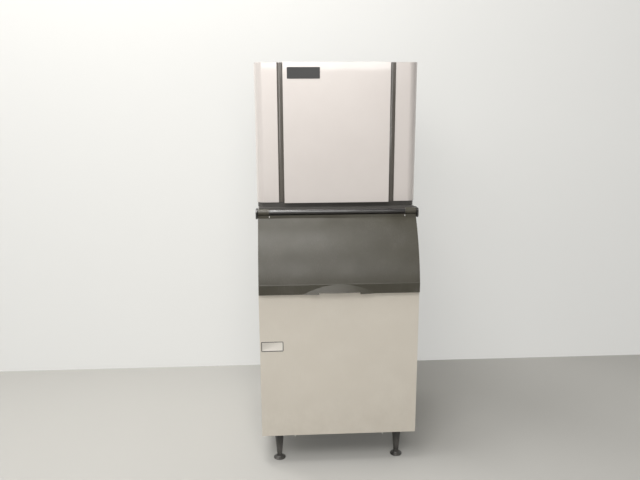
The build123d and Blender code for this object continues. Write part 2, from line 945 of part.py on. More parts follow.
with BuildPart() as water_trough:
    with BuildSketch(Plane.XY.offset(trough_bottom)):
        with Locations((trough_x, trough_y)):
            Rectangle(trough_width, trough_depth)
    extrude(amount=trough_top - trough_bottom)
    with BuildSketch(Plane.XY.offset(trough_bottom + trough_wall)):
        with Locations((trough_x, trough_y)):
            Rectangle(trough_width - 2 * trough_wall, trough_depth - 2 * trough_wall)
    extrude(amount=trough_top, mode=Mode.SUBTRACT)
    with BuildSketch(Plane.XY.offset(base_top)):
        with Locations((trough_x, trough_y)):
            with GridLocations(trough_width - 40, trough_depth - 40, 2, 2):
                Rectangle(20, 20)
    extrude(amount=trough_bottom - base_top)
save(water_trough, "water_trough")

volute_bottom = 1317
volute_top = 1346
volute_radius = 26
volute_wall = 4
motor_bottom = 1400
motor_top = 1465
shaft_top = 1440
shaft_radius = 3

with BuildPart() as pump:
    with BuildSketch(Plane.XY.offset(volute_bottom)):
        with Locations((pump_x, pump_y)):
            RegularPolygon(volute_radius, round_sides)
    extrude(amount=volute_top - volute_bottom)
    with BuildSketch(Plane.XY.offset(nozzle_top - 16)):
        with Locations(((pump_x + volute_radius + supply_x) / 2, pump_y)):
            Rectangle(supply_x + 8 - pump_x - volute_radius + 8, 16)
    extrude(amount=16)
    with BuildSketch(Plane.XY.offset(volute_top)):
        with Locations((pump_x, pump_y)):
            Rectangle(16, 16)
    extrude(amount=motor_bottom - volute_top)
    with BuildSketch(Plane.XY.offset(trough_top)):
        with Locations((pump_x, (pump_y - 20 + trough_back) / 2)):
            Rectangle(60, trough_back - pump_y + 20)
    extrude(amount=motor_bottom - trough_top)
    with BuildSketch(Plane.XY.offset(motor_bottom)):
        with Locations((pump_x, pump_y)):
            RegularPolygon(29, round_sides)
    extrude(amount=motor_top - motor_bottom)
    with BuildSketch(Plane.XY.offset(volute_bottom)):
        with Locations((pump_x, pump_y)):
            RegularPolygon(volute_radius - volute_wall, round_sides)
    extrude(amount=volute_top - volute_bottom - volute_wall, mode=Mode.SUBTRACT)
    with BuildSketch(Plane.XY.offset(volute_bottom)):
        with Locations((pump_x, pump_y)):
            bore(shaft_radius)
    extrude(amount=shaft_top + 3 - volute_bottom, mode=Mode.SUBTRACT)
save(pump, "pump")

vane_count = 6

with BuildPart() as pump_impeller:
    with BuildSketch(Plane.XY.offset(volute_bottom + 3)):
        with Locations((pump_x, pump_y)):
            RegularPolygon(19, 16)
    extrude(amount=3)
    with BuildSketch(Plane.XY.offset(volute_bottom + 6)):
        with Locations((pump_x, pump_y)):
            with PolarLocations(10, vane_count):
                Rectangle(16, 2, rotation=25)
    extrude(amount=14)
    with BuildSketch(Plane.XY.offset(volute_bottom + 3)):
        with Locations((pump_x, pump_y)):
            shaft(shaft_radius)
    extrude(amount=shaft_top - volute_bottom - 3)
save(pump_impeller, "pump_impeller")

valve_left = trough_left
valve_right = -300
arm_pivot_x = -292
arm_pivot_z = 1406
arm_pin = 2.5
ear_thickness = 5
ear_spread = 12

with BuildPart() as float_valve:
    with BuildSketch(Plane.XY.offset(trough_top)):
        with Locations(((valve_left + valve_right) / 2, float_y)):
            Rectangle(valve_right - valve_left, 34)
    extrude(amount=4)
    with BuildSketch(Plane.XY.offset(trough_top + 4)):
        with Locations(((valve_left + valve_right) / 2 + 8, float_y)):
            Rectangle(36, 20)
    extrude(amount=18)
    for side in (-1, 1):
        with BuildSketch(Plane.XZ.offset(-(float_y + side * ear_spread))):
            with Locations(((valve_right - 6 + arm_pivot_x + 7) / 2, arm_pivot_z - 3)):
                Rectangle(arm_pivot_x + 7 - valve_right + 6, 22)
            with Locations((arm_pivot_x, arm_pivot_z)):
                bore(arm_pin, Mode.SUBTRACT)
        extrude(amount=-side * ear_thickness)
save(float_valve, "float_valve")

arm_length = 74
ball_radius = 17

with BuildPart() as float_arm:
    with BuildSketch(Plane.XZ.offset(-float_y)):
        with Locations((arm_pivot_x, arm_pivot_z)):
            shaft(arm_pin)
    extrude(amount=ear_spread + ear_thickness, both=True)
    with BuildSketch(Plane.XZ.offset(-float_y)):
        with Locations((arm_pivot_x + arm_length / 2, arm_pivot_z)):
            Rectangle(arm_length + 10, 6)
        with Locations((arm_pivot_x + arm_length, arm_pivot_z - 14)):
            Rectangle(6, 28)
    extrude(amount=4, both=True)
    with BuildSketch(Plane.XY.offset(arm_pivot_z - 28)):
        with Locations((arm_pivot_x + arm_length, float_y)):
            RegularPolygon(ball_radius, 16)
    extrude(amount=-30)
save(float_arm, "float_arm")

# Machine side: compressor on rubber grommets, condenser with its fan, and the refrigerant lines

grommet_spread = 130
grommet_radius = 12
compressor_plate = base_top + 20
compressor_top = 1528

with BuildPart() as compressor_grommets:
    with BuildSketch(Plane.XY.offset(base_top)):
        with Locations((compressor_x, compressor_y)):
            with GridLocations(grommet_spread, grommet_spread, 2, 2):
                RegularPolygon(grommet_radius, 8)
    extrude(amount=compressor_plate - base_top)
save(compressor_grommets, "compressor_grommets")

with BuildPart() as compressor:
    with BuildSketch(Plane.XY.offset(compressor_plate)):
        with Locations((compressor_x, compressor_y)):
            RegularPolygon(compressor_radius, round_sides)
    extrude(amount=compressor_top - compressor_plate)
    chamfer(compressor.faces().sort_by(Axis.Z)[0].edges(), length=24)
    for shoulder in (34, 14):
        chamfer(compressor.faces().sort_by(Axis.Z)[-1].edges(), length=shoulder)
    with BuildSketch(Plane.XY.offset(compressor_plate)):
        with Locations((compressor_x, compressor_y)):
            Rectangle(grommet_spread + 30, grommet_spread + 30)
    extrude(amount=4)
    with BuildSketch(Plane.YZ.offset(compressor_x - compressor_radius - 18)):
        with Locations((compressor_y, 1430)):
            Rectangle(50, 60)
    extrude(amount=30)
save(compressor, "compressor")

fin_pitch = 20
groove_count = 15

with BuildPart() as condenser:
    with BuildSketch(Plane.XY.offset(condenser_bottom)):
        with Locations((fan_x, (condenser_front + condenser_back) / 2)):
            Rectangle(condenser_right - condenser_left, condenser_back - condenser_front)
        with Locations((fan_x, condenser_front)):
            with GridLocations(fin_pitch, 0, groove_count, 1):
                Rectangle(fin_pitch / 2, 64, mode=Mode.SUBTRACT)
    extrude(amount=condenser_top - condenser_bottom)
    with BuildSketch(Plane.XY.offset(condenser_bottom + 10)):
        with Locations((header_x, (condenser_front + condenser_back) / 2)):
            Rectangle(2 * (header_x - condenser_right), 16)
    extrude(amount=condenser_top - condenser_bottom - 20)
    with BuildSketch(Plane.XY.offset(base_top)):
        with Locations((fan_x, (condenser_front + condenser_back) / 2)):
            with GridLocations(condenser_right - condenser_left - 4, 0, 2, 1):
                Rectangle(4, condenser_back - condenser_front)
    extrude(amount=condenser_bottom - base_top)
save(condenser, "condenser")

shroud_thickness = 2
shroud_front = condenser_front - shroud_thickness
bridge_y = 262
bridge_half = 134

with BuildPart() as fan_shroud:
    with BuildSketch(Plane.XZ.offset(-condenser_front)):
        with Locations((fan_x, fan_z)):
            Rectangle(condenser_right - condenser_left, condenser_top - condenser_bottom)
            RegularPolygon(fan_radius + 5, round_sides, mode=Mode.SUBTRACT)
    extrude(amount=shroud_thickness)
    with BuildSketch(Plane.XZ.offset(-shroud_front)):
        with Locations((fan_x, fan_z)):
            Rectangle(2 * bridge_half, 24)
            Rectangle(2 * bridge_half - 8, 24, mode=Mode.SUBTRACT)
    extrude(amount=shroud_front - bridge_y)
    with BuildSketch(Plane.XZ.offset(-bridge_y)):
        with Locations((fan_x, fan_z)):
            Rectangle(2 * bridge_half, 24)
            Rectangle(12, 12, mode=Mode.SUBTRACT)
    extrude(amount=-4)
save(fan_shroud, "fan_shroud")

motor_front = 205
fan_shaft = 4
fan_shaft_start = 225

with BuildPart() as fan_motor:
    with BuildSketch(Plane.XZ.offset(-bridge_y)):
        with Locations((fan_x, fan_z)):
            RegularPolygon(38, round_sides)
    extrude(amount=bridge_y - motor_front)
    with BuildSketch(Plane.XZ.offset(-bridge_y)):
        with Locations((fan_x, fan_z)):
            bore(fan_shaft)
    extrude(amount=bridge_y - fan_shaft_start + 3, mode=Mode.SUBTRACT)
save(fan_motor, "fan_motor")

blade_count = 5
hub_radius = 22
hub_front = 282
hub_back = 308
hub_middle = (hub_front + hub_back) / 2
blade_pitch = 58
blade_reach = fan_radius - 4

with BuildPart() as fan_blade:
    for blade in range(blade_count):
        spoke = Plane((fan_x, hub_middle, fan_z)).rotated((0, blade * 360 / blade_count, 0))
        pitched = Plane(
            spoke.origin,
            x_dir=spoke.z_dir,
            z_dir=spoke.y_dir.rotate(Axis((0, 0, 0), spoke.z_dir), blade_pitch),
        )
        with BuildSketch(pitched):
            with BuildLine():
                Polyline(
                    (hub_radius - 6, -14),
                    (blade_reach - 12, -30),
                    (blade_reach, -10),
                    (blade_reach, 16),
                    (hub_radius - 6, 14),
                    close=True,
                )
            make_face()
        extrude(amount=1.2, both=True)
    with BuildSketch(Plane.XZ.offset(-hub_back)):
        with Locations((fan_x, fan_z)):
            RegularPolygon(hub_radius, 16)
    extrude(amount=hub_back - hub_front)
    with BuildSketch(Plane.XZ.offset(-hub_back)):
        with Locations((fan_x, fan_z)):
            shaft(fan_shaft)
    extrude(amount=hub_back - fan_shaft_start)
save(fan_blade, "fan_blade")

header_front = (condenser_front + condenser_back) / 2 - 8
discharge_z = 1450
discharge_top = 1600
liquid_z = 1322
drier_left = 190
drier_right = 300

with BuildPart() as discharge_line:
    add(
        pipe(
            [
                (compressor_x + compressor_radius, compressor_y, discharge_z),
                (header_x, compressor_y, discharge_z),
                (header_x, compressor_y, discharge_top),
                (header_x, header_front, discharge_top),
            ],
            pipe_radius,
            20,
        )
    )
save(discharge_line, "discharge_line")

with BuildPart() as liquid_line:
    add(
        pipe(
            [
                (header_x, header_front, liquid_z),
                (header_x, line_y, liquid_z),
                (drier_right, line_y, liquid_z),
            ],
            pipe_radius,
            20,
        )
    )
save(liquid_line, "liquid_line")

with BuildPart() as filter_drier:
    with BuildSketch(Plane.YZ.offset(drier_left)):
        with Locations((line_y, liquid_z)):
            RegularPolygon(8, 12)
    extrude(amount=drier_right - drier_left)
    with BuildSketch(Plane.YZ.offset(drier_left + 12)):
        with Locations((line_y, liquid_z)):
            RegularPolygon(19, 16)
    extrude(amount=drier_right - drier_left - 24)
save(filter_drier, "filter_drier")

valve_radius = 13

with BuildPart() as feed_line:
    add(
        pipe(
            [
                (drier_left, line_y, liquid_z),
                (40, line_y, liquid_z),
                (40, line_y, coil_low),
                (tail_x + valve_radius, line_y, coil_low),
            ],
            pipe_radius,
            20,
        )
    )
save(feed_line, "feed_line")

with BuildPart() as expansion_valve:
    with BuildSketch(Plane.XY.offset(coil_low - 20)):
        with Locations((tail_x, line_y)):
            Rectangle(2 * valve_radius, 2 * valve_radius)
    extrude(amount=50)
    with BuildSketch(Plane.XY.offset(coil_low + 30)):
        with Locations((tail_x, line_y)):
            RegularPolygon(20, 16)
    extrude(amount=10)
    with BuildSketch(Plane.XZ.offset(-tail_back)):
        with Locations((tail_x, coil_low)):
            Rectangle(12, 12)
    extrude(amount=tail_back - line_y)
save(expansion_valve, "expansion_valve")

suction_x = 110

with BuildPart() as suction_line:
    add(
        pipe(
            [
                (tail_x, tail_back, coil_high),
                (tail_x, line_y, coil_high),
                (suction_x, line_y, coil_high),
                (suction_x, compressor_y, coil_high),
                (suction_x, compressor_y, compressor_top - 30),
            ],
            pipe_radius + 1,
            15,
        )
    )
    add(compressor.part, mode=Mode.SUBTRACT)
save(suction_line, "suction_line")

solenoid_x = 330
solenoid_z = 1535

with BuildPart() as hot_gas_valve:
    with BuildSketch(Plane.XY.offset(solenoid_z - 15)):
        with Locations((solenoid_x, compressor_y)):
            RegularPolygon(14, 12)
    extrude(amount=35)
    with BuildSketch(Plane.XY.offset(solenoid_z + 20)):
        with Locations((solenoid_x, compressor_y)):
            Rectangle(34, 34)
    extrude(amount=30)
    with BuildSketch(Plane.YZ.offset(solenoid_x)):
        with Locations((compressor_y, solenoid_z)):
            Rectangle(8, 8)
    extrude(amount=header_x - solenoid_x)
    add(discharge_line.part, mode=Mode.SUBTRACT)
save(hot_gas_valve, "hot_gas_valve")

with BuildPart() as hot_gas_line:
    add(
        pipe(
            [
                (solenoid_x, compressor_y, solenoid_z + 50),
                (solenoid_x, compressor_y, hot_gas_z),
                (solenoid_x, hot_gas_y, hot_gas_z),
                (tail_x, hot_gas_y, hot_gas_z),
                (tail_x, hot_gas_y, coil_low + coil_width / 2),
            ],
            pipe_radius - 1,
            20,
        )
    )
save(hot_gas_line, "hot_gas_line")

# Control box with its cover and the selector switch

box_wall = 1.5
slot_half = 5

with BuildPart() as control_box:
    with BuildSketch(Plane.XZ.offset(-box_back)):
        with Locations(((box_left + box_right) / 2, (box_bottom + box_top) / 2)):
            Rectangle(box_right - box_left, box_top - box_bottom)
    extrude(amount=box_back - box_front)
    with BuildSketch(Plane.XZ.offset(-(box_back - box_wall))):
        with Locations(((box_left + box_right) / 2, (box_bottom + box_top) / 2)):
            Rectangle(box_right - box_left - 2 * box_wall, box_top - box_bottom - 2 * box_wall)
    extrude(amount=box_back - box_front, mode=Mode.SUBTRACT)
    with BuildSketch(Plane.XY.offset(box_top)):
        with Locations(((box_left + box_right) / 2, box_back - 10)):
            with GridLocations(box_right - box_left - 40, 0, 2, 1):
                Rectangle(20, 20)
    extrude(amount=sheet_top - box_top)
save(control_box, "control_box")

with BuildPart() as control_box_cover:
    with BuildSketch(Plane.XZ.offset(-box_front)):
        with Locations(((box_left + box_right) / 2, (box_bottom + box_top) / 2)):
            Rectangle(box_right - box_left, box_top - box_bottom)
        with Locations((switch_x, switch_z)):
            Rectangle(2 * slot_half + 2, 24, mode=Mode.SUBTRACT)
    extrude(amount=box_wall)
save(control_box_cover, "control_box_cover")

switch_y = box_front + 14
switch_pin = 3
cheek = 4

with BuildPart() as switch_body:
    with BuildSketch(Plane.YZ.offset(switch_x)):
        with Locations(((box_front + switch_y + 12) / 2, switch_z)):
            Rectangle(switch_y + 12 - box_front, 40)
    extrude(amount=slot_half + cheek, both=True)
    with BuildSketch(Plane.YZ.offset(switch_x)):
        with Locations(((box_front + switch_y + 7) / 2, switch_z)):
            Rectangle(switch_y + 7 - box_front, 30)
    extrude(amount=slot_half + 0.5, both=True, mode=Mode.SUBTRACT)
    with BuildSketch(Plane.YZ.offset(switch_x)):
        with Locations((switch_y, switch_z)):
            bore(switch_pin)
    extrude(amount=slot_half + cheek, both=True, mode=Mode.SUBTRACT)
save(switch_body, "switch_body")

lever_tip = box_front - 16

with BuildPart() as selector_switch:
    with BuildSketch(Plane.YZ.offset(switch_x)):
        with Locations((switch_y, switch_z)):
            shaft(switch_pin)
    extrude(amount=slot_half + cheek, both=True)
    with BuildSketch(Plane.YZ.offset(switch_x)):
        with BuildLine():
            Polyline(
                (switch_y + 4, switch_z - 5),
                (lever_tip, switch_z - 2.5),
                (lever_tip, switch_z + 2.5),
                (switch_y + 4, switch_z + 5),
                close=True,
            )
        make_face()
    extrude(amount=slot_half, both=True)
save(selector_switch, "selector_switch")

cabinet_screw_x = 372

with BuildPart() as cabinet_screws:
    with BuildSketch(Plane.XZ.offset(-head_back)):
        for height in (1320, 1610, 1900):
            with Locations((-cabinet_screw_x, height), (cabinet_screw_x, height)):
                RegularPolygon(6, 6)
    extrude(amount=-screw_height)
save(cabinet_screws, "cabinet_screws")
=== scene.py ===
"""Ice cube machine: a cuber head on an insulated bin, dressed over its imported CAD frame."""

import json
import math

import bmesh
import bpy
from mathutils import Matrix, Vector, noise as fractal

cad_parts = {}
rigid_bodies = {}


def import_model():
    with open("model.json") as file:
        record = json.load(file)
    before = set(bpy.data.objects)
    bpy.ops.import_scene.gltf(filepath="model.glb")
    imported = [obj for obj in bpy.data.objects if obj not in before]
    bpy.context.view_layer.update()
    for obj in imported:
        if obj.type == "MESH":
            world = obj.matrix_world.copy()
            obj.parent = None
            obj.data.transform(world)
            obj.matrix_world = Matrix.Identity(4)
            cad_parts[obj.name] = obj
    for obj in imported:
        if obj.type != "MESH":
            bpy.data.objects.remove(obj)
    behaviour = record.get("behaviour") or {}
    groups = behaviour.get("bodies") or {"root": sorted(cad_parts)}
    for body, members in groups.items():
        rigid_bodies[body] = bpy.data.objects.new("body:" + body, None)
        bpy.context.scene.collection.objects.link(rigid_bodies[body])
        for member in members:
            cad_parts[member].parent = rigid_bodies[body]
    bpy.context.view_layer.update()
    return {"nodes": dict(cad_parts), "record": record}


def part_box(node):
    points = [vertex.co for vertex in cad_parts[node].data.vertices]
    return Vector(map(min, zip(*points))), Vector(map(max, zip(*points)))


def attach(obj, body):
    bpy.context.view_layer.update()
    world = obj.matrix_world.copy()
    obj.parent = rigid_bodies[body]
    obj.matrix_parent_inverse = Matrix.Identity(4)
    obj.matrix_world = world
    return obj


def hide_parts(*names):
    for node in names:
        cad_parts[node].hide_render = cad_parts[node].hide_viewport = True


MM = 0.001

for leftover in list(bpy.data.objects):
    bpy.data.objects.remove(leftover)

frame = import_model()
nodes = frame["nodes"]
body_of_node = {
    name: body
    for body, members in frame["record"]["behaviour"]["bodies"].items()
    for name in members
}
slot_of_node = {part["node"]: part["material_slot"] for part in frame["record"]["subparts"]}


# Shader building


def place(tree, kind, inputs=None, **settings):
    """A new node with its settings made, and its inputs either linked or given a value."""
    made = tree.nodes.new(kind)
    for key, value in settings.items():
        setattr(made, key, value)
    for key, value in (inputs or {}).items():
        if isinstance(value, bpy.types.NodeSocket):
            tree.links.new(value, made.inputs[key])
        else:
            made.inputs[key].default_value = value
    return made


def blend_colours(tree, share, first, second):
    """Colour between first and second."""
    mix = place(tree, "ShaderNodeMix", {0: share, 6: first, 7: second}, data_type="RGBA")
    return mix.outputs[2]


def span(tree, value, low, high, to_low=0.0, to_high=1.0):
    """Value taken from the range low..high to the range to_low..to_high, and held there."""
    settings = {"Value": value, "From Min": low, "From Max": high, "To Min": to_low, "To Max": to_high}
    return place(tree, "ShaderNodeMapRange", settings).outputs[0]


def object_point(tree):
    """Place of a point in the frame that all the pieces share."""
    return place(tree, "ShaderNodeTexCoord").outputs["Object"]


def noise(tree, vector, scale, detail, roughness):
    """Cloudy value between 0 and 1."""
    settings = {"Vector": vector, "Scale": scale, "Detail": detail, "Roughness": roughness}
    return place(tree, "ShaderNodeTexNoise", settings).outputs[0]


def calculate(tree, operation, *values):
    """Result of an arithmetic operation on sockets or numbers."""
    return place(tree, "ShaderNodeMath", dict(enumerate(values)), operation=operation).outputs[0]


def bumped(tree, height, strength, distance, **under):
    """Normal of a relief of the given distance, over the normal under it where there is one."""
    settings = {"Height": height, "Strength": strength, "Distance": distance, **under}
    return place(tree, "ShaderNodeBump", settings).outputs[0]


def vary_gloss(tree, entry, pattern):
    """Roughness that follows a pattern, up to half of Spread each way."""
    spread = calculate(tree, "MULTIPLY", span(tree, pattern, 0.3, 0.7, -0.5, 0.5), entry["Spread"])
    return calculate(tree, "ADD", entry["Roughness"], spread)


def effect(name, inputs, outputs, build):
    """A shader node group with named sockets, drawn by build(tree, entry, result)."""
    tree = bpy.data.node_groups.new(name, "ShaderNodeTree")
    for label, kind, value in inputs:
        socket = tree.interface.new_socket(label, in_out="INPUT", socket_type=kind)
        socket.default_value = value
    for label, kind in outputs:
        tree.interface.new_socket(label, in_out="OUTPUT", socket_type=kind)
    entry = tree.nodes.new("NodeGroupInput").outputs
    result = tree.nodes.new("NodeGroupOutput").inputs
    for label, socket in build(tree, entry).items():
        tree.links.new(socket, result[label])
    return tree


def use(tree, group, **inputs):
    """Places a group in a material. Underscores in the names of its sockets stand for spaces."""
    made = place(tree, "ShaderNodeGroup", node_tree=group)
    for key, value in inputs.items():
        socket = made.inputs[key.replace("_", " ")]
        if isinstance(value, bpy.types.NodeSocket):
            tree.links.new(value, socket)
        else:
            socket.default_value = value
    return made.outputs


FLOAT = "NodeSocketFloat"
COLOUR = "NodeSocketColor"
VECTOR = "NodeSocketVector"


def draw_mottle(tree, entry):
    """Cloudy change from one colour to another, as in rolled sheet, enamel or handled plastic."""
    clouds = noise(tree, object_point(tree), entry["Scale"], 5.0, 0.6)
    share = calculate(tree, "MULTIPLY", span(tree, clouds, 0.35, 0.7), entry["Amount"])
    return {"Colour": blend_colours(tree, share, entry["Colour"], entry["Other"])}


mottle = effect(
    "mottle",
    [
        ("Colour", COLOUR, (0.5, 0.5, 0.5, 1)),
        ("Other", COLOUR, (0.4, 0.4, 0.4, 1)),
        ("Scale", FLOAT, 4.0),
        ("Amount", FLOAT, 0.5),
    ],
    [("Colour", COLOUR)],
    draw_mottle,
)


def draw_dust(tree, entry):
    """Film of dust and splashes that gathers towards the floor and fades out at a height."""
    height = place(tree, "ShaderNodeSeparateXYZ", {0: object_point(tree)}).outputs["Z"]
    low = span(tree, height, 0.0, entry["Height"], 1.0, 0.0)
    patches = span(tree, noise(tree, object_point(tree), 14.0, 6.0, 0.65), 0.38, 0.68)
    film = calculate(tree, "MULTIPLY", low, patches)
    share = calculate(tree, "MULTIPLY", film, entry["Amount"])
    return {"Colour": blend_colours(tree, share, entry["Colour"], entry["Dust"])}


dust = effect(
    "dust",
    [
        ("Colour", COLOUR, (0.5, 0.5, 0.5, 1)),
        ("Dust", COLOUR, (0.35, 0.32, 0.28, 1)),
        ("Height", FLOAT, 0.5),
        ("Amount", FLOAT, 0.3),
    ],
    [("Colour", COLOUR)],
    draw_dust,
)


def draw_brushing(tree, entry):
    """Fine lines left by brushing or rolling, long in one direction, with their own gloss."""
    directions = {0: object_point(tree), 1: entry["Stretch"]}
    stretched = place(tree, "ShaderNodeVectorMath", directions, operation="MULTIPLY").outputs[0]
    lines = noise(tree, stretched, 1.0, 4.0, 0.7)
    relief = bumped(tree, lines, entry["Depth"], 0.2 * MM, Normal=entry["Normal"])
    return {"Normal": relief, "Roughness": vary_gloss(tree, entry, lines)}


brushing = effect(
    "brushing",
    [
        ("Stretch", VECTOR, (3.0, 3.0, 900.0)),
        ("Depth", FLOAT, 0.3),
        ("Roughness", FLOAT, 0.35),
        ("Spread", FLOAT, 0.12),
        ("Normal", VECTOR, (0.0, 0.0, 0.0)),
    ],
    [("Normal", VECTOR), ("Roughness", FLOAT)],
    draw_brushing,
)


def draw_ripple(tree, entry):
    """Slack waves in thin sheet and in the film that covers it."""
    broad = noise(tree, object_point(tree), entry["Scale"], 2.0, 0.4)
    return {"Normal": bumped(tree, broad, entry["Depth"], 10 * MM)}


ripple = effect(
    "ripple",
    [("Scale", FLOAT, 5.0), ("Depth", FLOAT, 0.1)],
    [("Normal", VECTOR)],
    draw_ripple,
)


def draw_scuffs(tree, entry):
    """Pale haze of fine slanting rubs, gathered in clouds where hands and cloths reach."""
    slant = {"Vector": object_point(tree), "Rotation": (0, math.radians(32), 0), "Scale": (260, 260, 26)}
    rubs = noise(tree, place(tree, "ShaderNodeMapping", slant).outputs[0], 1.0, 4.0, 0.65)
    clouds = span(tree, noise(tree, object_point(tree), 5.5, 5.0, 0.6), 0.44, 0.74)
    haze = calculate(tree, "MULTIPLY", clouds, span(tree, rubs, 0.46, 0.66, 0.35, 1.0))
    share = calculate(tree, "MULTIPLY", haze, entry["Amount"])
    rougher = calculate(tree, "MULTIPLY_ADD", share, 0.25, entry["Roughness"])
    return {"Colour": blend_colours(tree, share, entry["Colour"], entry["Haze"]), "Roughness": rougher}


scuffs = effect(
    "scuffs",
    [
        ("Colour", COLOUR, (0.5, 0.5, 0.5, 1)),
        ("Haze", COLOUR, (0.6, 0.6, 0.6, 1)),
        ("Roughness", FLOAT, 0.4),
        ("Amount", FLOAT, 0.5),
    ],
    [("Colour", COLOUR), ("Roughness", FLOAT)],
    draw_scuffs,
)


def draw_grain(tree, entry):
    """Small even grain of a mould, a cast skin or a sprayed coat."""
    point = object_point(tree)
    cells = {"Vector": point, "Scale": entry["Scale"]}
    pits = place(tree, "ShaderNodeTexVoronoi", cells, feature="SMOOTH_F1").outputs[0]
    height = calculate(tree, "ADD", pits, noise(tree, point, entry["Scale"], 4.0, 0.6))
    relief = bumped(tree, height, entry["Depth"], 0.4 * MM)
    handled = noise(tree, point, 6.0, 5.0, 0.6)
    return {"Normal": relief, "Roughness": vary_gloss(tree, entry, handled)}


grain = effect(
    "grain",
    [("Scale", FLOAT, 700.0), ("Depth", FLOAT, 0.3), ("Roughness", FLOAT, 0.5), ("Spread", FLOAT, 0.1)],
    [("Normal", VECTOR), ("Roughness", FLOAT)],
    draw_grain,
)


def start_material(name, **sockets):
    """A material with its own Principled shader, whose fixed values are set on its sockets."""
    material = bpy.data.materials.new(name)
    material.use_nodes = True
    tree = material.node_tree
    surface = tree.nodes["Principled BSDF"].inputs
    for key, value in sockets.items():
        surface[key.replace("_", " ")].default_value = value
    return material, tree, surface


def cover(tree, surface, colour, gloss, normal):
    """Links all that changes over the surface to its shader."""
    for label, socket in (("Base Color", colour), ("Roughness", gloss), ("Normal", normal)):
        tree.links.new(socket, surface[label])


def satin_steel():
    """Pale warm steel sheet of the head, still under its clear film."""
    material, tree, surface = start_material(
        "satin_steel", Metallic=0.25, Coat_Weight=1.0, Coat_Roughness=0.05
    )
    waves = use(tree, ripple, Scale=4.5, Depth=0.05)
    lines = use(
        tree, brushing, Stretch=(900, 900, 4), Depth=0.12, Roughness=0.42, Spread=0.06, Normal=waves["Normal"]
    )
    tone = use(
        tree, mottle, Colour=(0.692, 0.648, 0.620, 1), Other=(0.650, 0.603, 0.577, 1), Scale=3.2, Amount=0.6
    )
    cover(tree, surface, tone["Colour"], lines["Roughness"], lines["Normal"])
    return material


def bin_paint():
    """Beige-grey coated sheet of the bin's wrapper, rubbed by cloths and dusty low down."""
    material, tree, surface = start_material("bin_paint", Metallic=0.15)
    skin = use(tree, grain, Scale=420, Depth=0.10, Roughness=0.46, Spread=0.10)
    tone = use(
        tree, mottle, Colour=(0.632, 0.590, 0.520, 1), Other=(0.582, 0.540, 0.472, 1), Scale=2.4, Amount=0.55
    )
    rubbed = use(
        tree, scuffs, Colour=tone["Colour"], Haze=(0.74, 0.71, 0.64, 1), Roughness=skin["Roughness"],
        Amount=0.30,
    )
    low = use(tree, dust, Colour=rubbed["Colour"], Dust=(0.40, 0.36, 0.29, 1), Height=0.42, Amount=0.30)
    cover(tree, surface, low["Colour"], rubbed["Roughness"], skin["Normal"])
    return material


def door_plastic():
    """Dark warm grey moulding of the door, with a fine grain and hand-worn gloss."""
    material, tree, surface = start_material("door_plastic", Specular_IOR_Level=0.42)
    skin = use(tree, grain, Scale=650, Depth=0.25, Roughness=0.32, Spread=0.12)
    tone = use(
        tree, mottle, Colour=(0.052, 0.0478, 0.0355, 1), Other=(0.0625, 0.058, 0.0435, 1), Scale=9, Amount=0.8
    )
    rubbed = use(
        tree, scuffs, Colour=tone["Colour"], Haze=(0.135, 0.130, 0.115, 1), Roughness=skin["Roughness"],
        Amount=0.42,
    )
    cover(tree, surface, rubbed["Colour"], rubbed["Roughness"], skin["Normal"])
    return material


def moulded(name, colour, other, roughness, depth, scale=500):
    """Moulded plastic, rubber or foam in one colour with its grain."""
    material, tree, surface = start_material(name)
    skin = use(tree, grain, Scale=scale, Depth=depth, Roughness=roughness, Spread=0.12)
    tone = use(tree, mottle, Colour=(*colour, 1), Other=(*other, 1), Scale=8, Amount=0.7)
    cover(tree, surface, tone["Colour"], skin["Roughness"], skin["Normal"])
    return material


def metal(name, colour, other, roughness, stretch, depth=0.25):
    """Bare or plated metal with its rolling, drawing or brushing lines."""
    material, tree, surface = start_material(name, Metallic=1.0)
    lines = use(tree, brushing, Stretch=stretch, Depth=depth, Roughness=roughness, Spread=0.14)
    tone = use(tree, mottle, Colour=(*colour, 1), Other=(*other, 1), Scale=7, Amount=0.7)
    cover(tree, surface, tone["Colour"], lines["Roughness"], lines["Normal"])
    return material


def coated(name, colour, other, roughness, coat, grain_depth=0.12, sheen_under=0.5):
    """Enamel or powder coat, with a clear gloss of its own over the sheen of what is under it."""
    material, tree, surface = start_material(
        name, Coat_Weight=coat, Coat_Roughness=0.06, Specular_IOR_Level=sheen_under
    )
    skin = use(tree, grain, Scale=380, Depth=grain_depth, Roughness=roughness, Spread=0.10)
    tone = use(tree, mottle, Colour=(*colour, 1), Other=(*other, 1), Scale=6, Amount=0.7)
    low = use(tree, dust, Colour=tone["Colour"], Dust=(0.30, 0.28, 0.25, 1), Height=0.12, Amount=0.45)
    cover(tree, surface, low["Colour"], skin["Roughness"], skin["Normal"])
    return material


